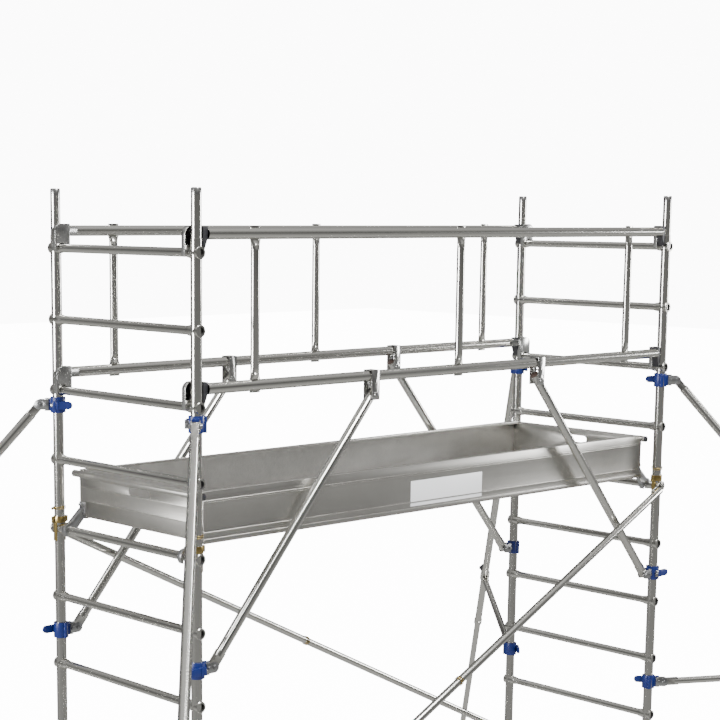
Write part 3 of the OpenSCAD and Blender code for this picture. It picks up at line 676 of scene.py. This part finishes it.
# %% Levelling legs
CREST, ROOT = SPIGOT_R, 0.0160
THREAD = 0.006
for corner in CORNERS:
    leg_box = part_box("castor_leg_" + corner)
    start, end = leg_box[0][2], leg_box[1][2]
    foot = upright_at(corner)
    flange = Vector(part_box("castor_fork_" + corner)[1]).z + 0.0003
    rings = [
        (start, 0.012), (start + 0.001, 0.013), (start + 0.007, 0.013),
        (start + 0.0072, 0.008), (flange - 0.0002, 0.008),
        (flange, 0.029), (flange + 0.001, 0.030), (flange + 0.009, 0.030),
        (flange + 0.010, 0.029), (flange + 0.011, ROOT),
    ]
    height = flange + 0.014
    while height < end - 0.01:
        rings += [(height, ROOT), (height + 0.0015, CREST)]
        rings += [(height + 0.0035, CREST), (height + 0.005, ROOT)]
        height += THREAD
    rings.append((end, 0.0155))
    leg = lay(turned("levelling_leg_" + corner, rings, 36), Vector((foot.x, foot.y, 0)))
    dress(leg, bright_zinc)
    settle(leg, "castor_leg_" + corner, "bright_zinc", "castor_leg_" + corner)
nuts = softened("leg_nuts", 0.0012)
dress(nuts, bright_zinc)
settle(nuts, "root", "bright_zinc", "leg_nuts")

# %% [markdown]
# ## Castors
# The tyre is a lathe piece with a rounded crown and shallow grooves round its
# tread. The hub has a rim, a web with a step, and a boss for the axle.

# %% Castor wheels
wheel_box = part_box("castor_wheel_front_left")
WHEEL_R = (wheel_box[1][2] - wheel_box[0][2]) / 2
TYRE_HALF = 0.020
CROWN = 0.008
GROOVE = 0.0012
tyre_rings = [(-TYRE_HALF + 0.002, 0.058), (-TYRE_HALF, 0.060), (-TYRE_HALF, WHEEL_R - 0.009)]
for k in range(1, 7):
    a = math.radians(15 * k)
    across = -TYRE_HALF + CROWN - CROWN * math.cos(a)
    tyre_rings.append((across, WHEEL_R - CROWN + CROWN * math.sin(a)))
for groove in (-0.006, 0.006):
    tyre_rings += [(groove - GROOVE, WHEEL_R), (groove - 0.0008, WHEEL_R - GROOVE)]
    tyre_rings += [(groove + 0.0008, WHEEL_R - GROOVE), (groove + GROOVE, WHEEL_R)]
half = tyre_rings[:9]
tyre_rings += [(-h, r) for h, r in reversed(half)]
hub_rings = [
    (-0.022, 0.0065), (-0.022, 0.0155), (-0.021, 0.0165), (-0.012, 0.0170), (-0.007, 0.020),
    (-0.006, 0.030), (-0.006, 0.044), (-0.008, 0.049), (-0.0165, 0.052), (-0.0170, 0.0575),
]
hub_rings += [(-h, r) for h, r in reversed(hub_rings)]
for corner in CORNERS:
    axle = pivot("wheel_spin_" + corner)
    tyre = lay(turned("tyre", tyre_rings, 64, hollow=True), axle, Y)
    dress(tyre, tyre_rubber)
    hub = lay(turned("hub", hub_rings, 64, hollow=True), axle, Y)
    dress(hub, black_plastic)
    node = "castor_wheel_" + corner
    settle(joined([tyre, hub], "wheel_" + corner), node, "grey_rubber", node)

# %% Castor forks and brake pedals
for corner in CORNERS:
    fork = softened("castor_fork_" + corner, 0.0007)
    dress(fork, bright_zinc)
    settle(fork, "castor_fork_" + corner, "bright_zinc", "castor_fork_" + corner)
    pedal = softened("castor_brake_" + corner, 0.0008)
    dress(pedal, red_plastic)
    settle(pedal, "castor_brake_" + corner, "red_plastic", "castor_brake_" + corner)

# %% [markdown]
# ## Guardrails
# The long rails are plain tubes with open ends. A post is a tube whose ends
# are pressed flat and pushed through slots in the rails, so each post starts as
# a turned tube and its end rings are then scaled to a long thin oval.

# %% Rails
rail_box_low, rail_box_high = (Vector(v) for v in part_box("guardrail_rails"))
RAIL_R = 0.019
MID_RAIL = rail_box_low.z + RAIL_R
TOP_RAIL = rail_box_high.z - RAIL_R
pieces = []
for side in (-1, 1):
    for height in (MID_RAIL, TOP_RAIL):
        start = Vector((rail_box_low.x, side * HALF_W, height))
        end = start + X * (rail_box_high.x - rail_box_low.x)
        pieces.append(tube("rail", start, end, RAIL_R, 0.002, 48))
settle(joined(pieces, "rail_tubes"), "root", "tube_aluminium", "guardrail_rails")

# %% Posts
post_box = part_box("guardrail_posts")
POST_SETBACK = 0.252
POST_OUT = HALF_L - POST_SETBACK
POST_R = 0.015
BLADE = 0.033
BLADE_WIDE, BLADE_THIN = 0.023 / POST_R, 0.0042 / POST_R
EASE = (0.62, 0.72, 0.80, 0.87, 0.93, 0.97)
bottom, top = post_box[0][2], post_box[1][2]
rings = [(bottom, POST_R), (bottom + 0.001, POST_R), (MID_RAIL + BLADE - 0.012, POST_R)]
rings += [(MID_RAIL + BLADE + 0.004 * k, POST_R) for k in range(1, 7)]
rings += [(TOP_RAIL - BLADE - 0.004 * k, POST_R) for k in range(6, 0, -1)]
rings += [(TOP_RAIL - BLADE + 0.012, POST_R), (top - 0.001, POST_R), (top, POST_R - 0.0006)]


def press_flat(obj, is_flat, wide, thin):
    """Scales the vertices that pass a test into a wide thin oval."""
    only(obj)
    bpy.ops.object.mode_set(mode="EDIT")
    bpy.ops.mesh.select_all(action="DESELECT")
    bpy.ops.object.mode_set(mode="OBJECT")
    for vertex in obj.data.vertices:
        vertex.select = is_flat(vertex.co)
    bpy.ops.object.mode_set(mode="EDIT")
    bpy.ops.transform.resize(value=(wide, thin, 1), center_override=(0, 0, 0))
    bpy.ops.object.mode_set(mode="OBJECT")


first_post = turned("post", rings, 40)
for step in range(6):
    near_mid = MID_RAIL + BLADE + 0.004 * step + 0.002
    near_top = TOP_RAIL - BLADE - 0.004 * step - 0.002
    ease = EASE[step]
    if step == 0:
        press_flat(
            first_post,
            lambda co: co.z < near_mid or co.z > near_top,
            BLADE_WIDE,
            BLADE_THIN,
        )
    else:
        press_flat(
            first_post,
            lambda co: abs(co.z - near_mid - 0.002) < 0.001
            or abs(co.z - near_top + 0.002) < 0.001,
            1 + (BLADE_WIDE - 1) * (1 - ease),
            ease,
        )
pieces = []
for side in (-1, 1):
    for x in (-POST_OUT, 0, POST_OUT):
        post = twin(first_post)
        pieces.append(lay(post, Vector((x, side * HALF_W, 0))))
bpy.data.objects.remove(first_post)
posts = joined(pieces, "post_tubes")
dress(posts, tube_aluminium(Z))
settle(posts, "root", "tube_aluminium", "guardrail_posts")

# %% Guardrail castings
for node, width, slot_name, material in (
    ("guardrail_end_brackets", 0.0012, "bright_aluminium", bright_aluminium),
    ("guardrail_strut_brackets", 0.0006, "bright_aluminium", bright_aluminium),
    ("plastic_fittings", 0.0012, "black_plastic", black_plastic),
):
    piece = softened(node, width)
    dress(piece, material)
    settle(piece, "root", slot_name, node)

# %% [markdown]
# ## Deck
# The tray is made of extrusions, so its own drawn profile already has the
# beads and lips. It gets a small bevel and a duller mill finish, whose lines
# run along the deck on the sides and across it on the end boards. The floor
# planks get a rough tread finish. The plate on the front side is left blank.

# %% Deck
for node, width, material in (
    ("deck_frame_beams", 0.0005, mill_aluminium),
    ("deck_floor_planks", 0.0, tread_aluminium),
    ("deck_end_boards", 0.0005, mill_across),
):
    piece = softened(node, width)
    dress(piece, material)
    settle(piece, "root", "mill_aluminium", node)
LABEL_X = (-0.202, 0.192)
LABEL_Z = (DECK_Z + 0.058, DECK_Z + 0.153)
LABEL_Y = -0.3483
LABEL_T = 0.0008
label_at = (sum(LABEL_X) / 2, LABEL_Y, sum(LABEL_Z) / 2)
bpy.ops.object.select_all(action="DESELECT")
bpy.ops.mesh.primitive_cube_add(size=1, location=label_at)
label = bpy.context.object
label.name = "blank_label"
label.scale = (LABEL_X[1] - LABEL_X[0], LABEL_T, LABEL_Z[1] - LABEL_Z[0])
apply_place(label)
rounding = label.modifiers.new("corners", "BEVEL")
rounding.width = 0.0003
rounding.segments = 2
bpy.ops.object.modifier_apply(modifier=rounding.name)
dress(label, label_film)
settle(label, "root", "grey_rubber")
hooks = softened("deck_hooks", 0.0012)
dress(hooks, bright_zinc)
settle(hooks, "root", "bright_zinc", "deck_hooks")

# %% [markdown]
# ## Braces
# A diagonal brace is a plain tube with a pressed plate and a bolt at each end.
# The two slant opposite ways, so each gets the finish for its own direction.

# %% Braces
braces = softened("diagonal_braces", 0.0008)
front_slant = Vector((HALF_L * 2, 0, BRACE_DROP * PITCH))
back_slant = Vector((-HALF_L * 2, 0, BRACE_DROP * PITCH))
dress(braces, tube_aluminium(front_slant))
paint_where(braces, tube_aluminium(back_slant), lambda c, n: c.y > 0)
settle(braces, "root", "tube_aluminium", "diagonal_braces")

# %% [markdown]
# ## Clamps
# A clamp has blue plastic jaws and a lever, two bright cheek plates, and steel
# bolts. The jaws are one piece with the cheeks in the model, so the finish is
# given by place: whatever lies beyond the boss, along the arm, is metal.


# %% Where the metal of a clamp begins
def metal_of_clamp(corner, direction):
    """A test for the cheeks and bolts of the clamps at a corner."""
    axis = upright_at(corner)
    along = Vector(direction).normalized()
    across = Vector((-along.y, along.x, 0))

    def test(centre, normal):
        local = centre - axis
        out, side = local.dot(along), abs(local.dot(across))
        cheek = out > 0.0305 and side > 0.0119
        pin = out > 0.047 and side < 0.0121
        nut = local.dot(across) ** 2 > 0.024 ** 2 and 0.0109 < out < 0.0205
        return cheek or pin or nut

    return test


def inward(corner):
    """The direction from a corner's upright to the middle of the bay."""
    return Vector((-CORNERS[corner][0], 0, 0))


def outward(corner):
    """The direction of a corner's stabiliser, seen from above."""
    d = pivot("stabiliser_lift_" + corner) - upright_at(corner)
    return Vector((d.x, d.y, 0)).normalized()


# %% Clamps of the stabilisers
for corner in CORNERS:
    node = "stabiliser_clamps_" + corner
    clamps = softened(node, 0.0012)
    dress(clamps, blue_plastic)
    paint_where(clamps, bright_zinc, metal_of_clamp(corner, outward(corner)))
    settle(clamps, node, "blue_plastic", node)
    node = "stabiliser_gates_" + corner
    gates = softened(node, 0.0016)
    dress(gates, blue_plastic)
    settle(gates, node, "blue_plastic", node)
    node = "rail_clamp_" + corner
    gate = softened(node, 0.0016)
    dress(gate, blue_plastic)
    settle(gate, node, "blue_plastic", node)

# %% Clamps of the rail struts
saddles = softened("rail_clamp_saddles", 0.0012)
dress(saddles, blue_plastic)
saddles.data.materials.append(bright_zinc)
tests = [(upright_at(c), metal_of_clamp(c, inward(c))) for c in CORNERS]
for face in saddles.data.polygons:
    near = min(tests, key=lambda t: (Vector((face.center.x, face.center.y, 0)) - t[0]).length)
    if near[1](face.center, face.normal):
        face.material_index = 1
settle(saddles, "root", "blue_plastic", "rail_clamp_saddles")

# %% [markdown]
# ## Struts of the guardrail
# Each strut is a tube whose lower end carries a flat tongue for the clamp. The
# upper end is closed by a dark plug that shows above the bracket.

# %% Rail struts
PLUG_REACH = 0.026
plug_rings = [
    (-0.018, 0.0150), (-0.0005, 0.0150), (0, 0.0168), (0.0012, 0.0168),
    (0.0022, 0.0150), (0.0022, 0.011), (0.0008, 0.010),
]
for corner in CORNERS:
    node = "rail_strut_" + corner
    top_pivot = pivot("rail_strut_swing_" + corner)
    clamp_pivot = upright_at(corner) + inward(corner) * CLAMP_REACH
    clamp_pivot += Z * pivot("rail_clamp_open_" + corner).z
    strut = softened(node, 0.0006)
    dress(strut, tube_aluminium(clamp_pivot - top_pivot))
    along = (top_pivot - clamp_pivot).normalized()
    plug = lay(turned("plug", plug_rings, 36), top_pivot + along * PLUG_REACH, along)
    dress(plug, brown_plastic)
    settle(strut, node, "tube_aluminium", node)
    settle(joined([plug], "strut_plug_" + corner), node, "black_plastic")

# %% [markdown]
# ## Stabilisers
# A stabiliser is an outer tube, a collar with a star knob, and a bright inner
# leg that slides out of it to a rubber foot.

# %% Stabilisers
COLLAR = 1.584
KNOB_RISE = 0.042
LOBE_OUT = 0.020
PAD_TOP = 0.0185
lobe_rings = [(0, 0.0060), (0.001, 0.0070), (0.013, 0.0070), (0.0145, 0.0055)]
for corner in CORNERS:
    down = Vector(joints["stabiliser_extend_" + corner]["axis"]).normalized()
    for kind in ("stabiliser_tube_", "stabiliser_leg_", "stabiliser_strut_"):
        node = kind + corner
        piece = softened(node, 0.0006)
        along = down
        if kind == "stabiliser_strut_":
            low_pivot = upright_at(corner) + outward(corner) * CLAMP_REACH + Z * LOWER_CLAMP_Z
            along = low_pivot - pivot("stabiliser_strut_fold_" + corner)
        dress(piece, tube_aluminium(along))
        if kind == "stabiliser_tube_":
            up = (Z - down * down.z).normalized()
            knob_at = pivot("stabiliser_lift_" + corner) + down * COLLAR + up * KNOB_RISE
            paint_where(
                piece,
                black_plastic,
                lambda c, n: (c - knob_at).dot(up) > -0.0002
                and abs((c - knob_at).dot(down)) < 0.03,
            )
            lobes = []
            for k in range(6):
                a = math.radians(60 * k)
                lobe = turned("lobe", lobe_rings, 24)
                lobe_at = Vector((LOBE_OUT * math.cos(a), LOBE_OUT * math.sin(a), 0))
                lobes.append(lay(lobe, lobe_at))
            cap = turned("knob_cap", [(0.0125, 0.0180), (0.0160, 0.0150), (0.0172, 0.0100)], 32)
            knob = lay(joined(lobes + [cap], "star_knob_" + corner), knob_at, up)
            dress(knob, black_plastic)
            settle(knob, node, "black_plastic")
        if kind == "stabiliser_leg_":
            paint_where(piece, tyre_rubber, lambda c, n: c.z < PAD_TOP)
        slot_name = "bright_aluminium" if kind == "stabiliser_leg_" else "tube_aluminium"
        settle(piece, node, slot_name, node)
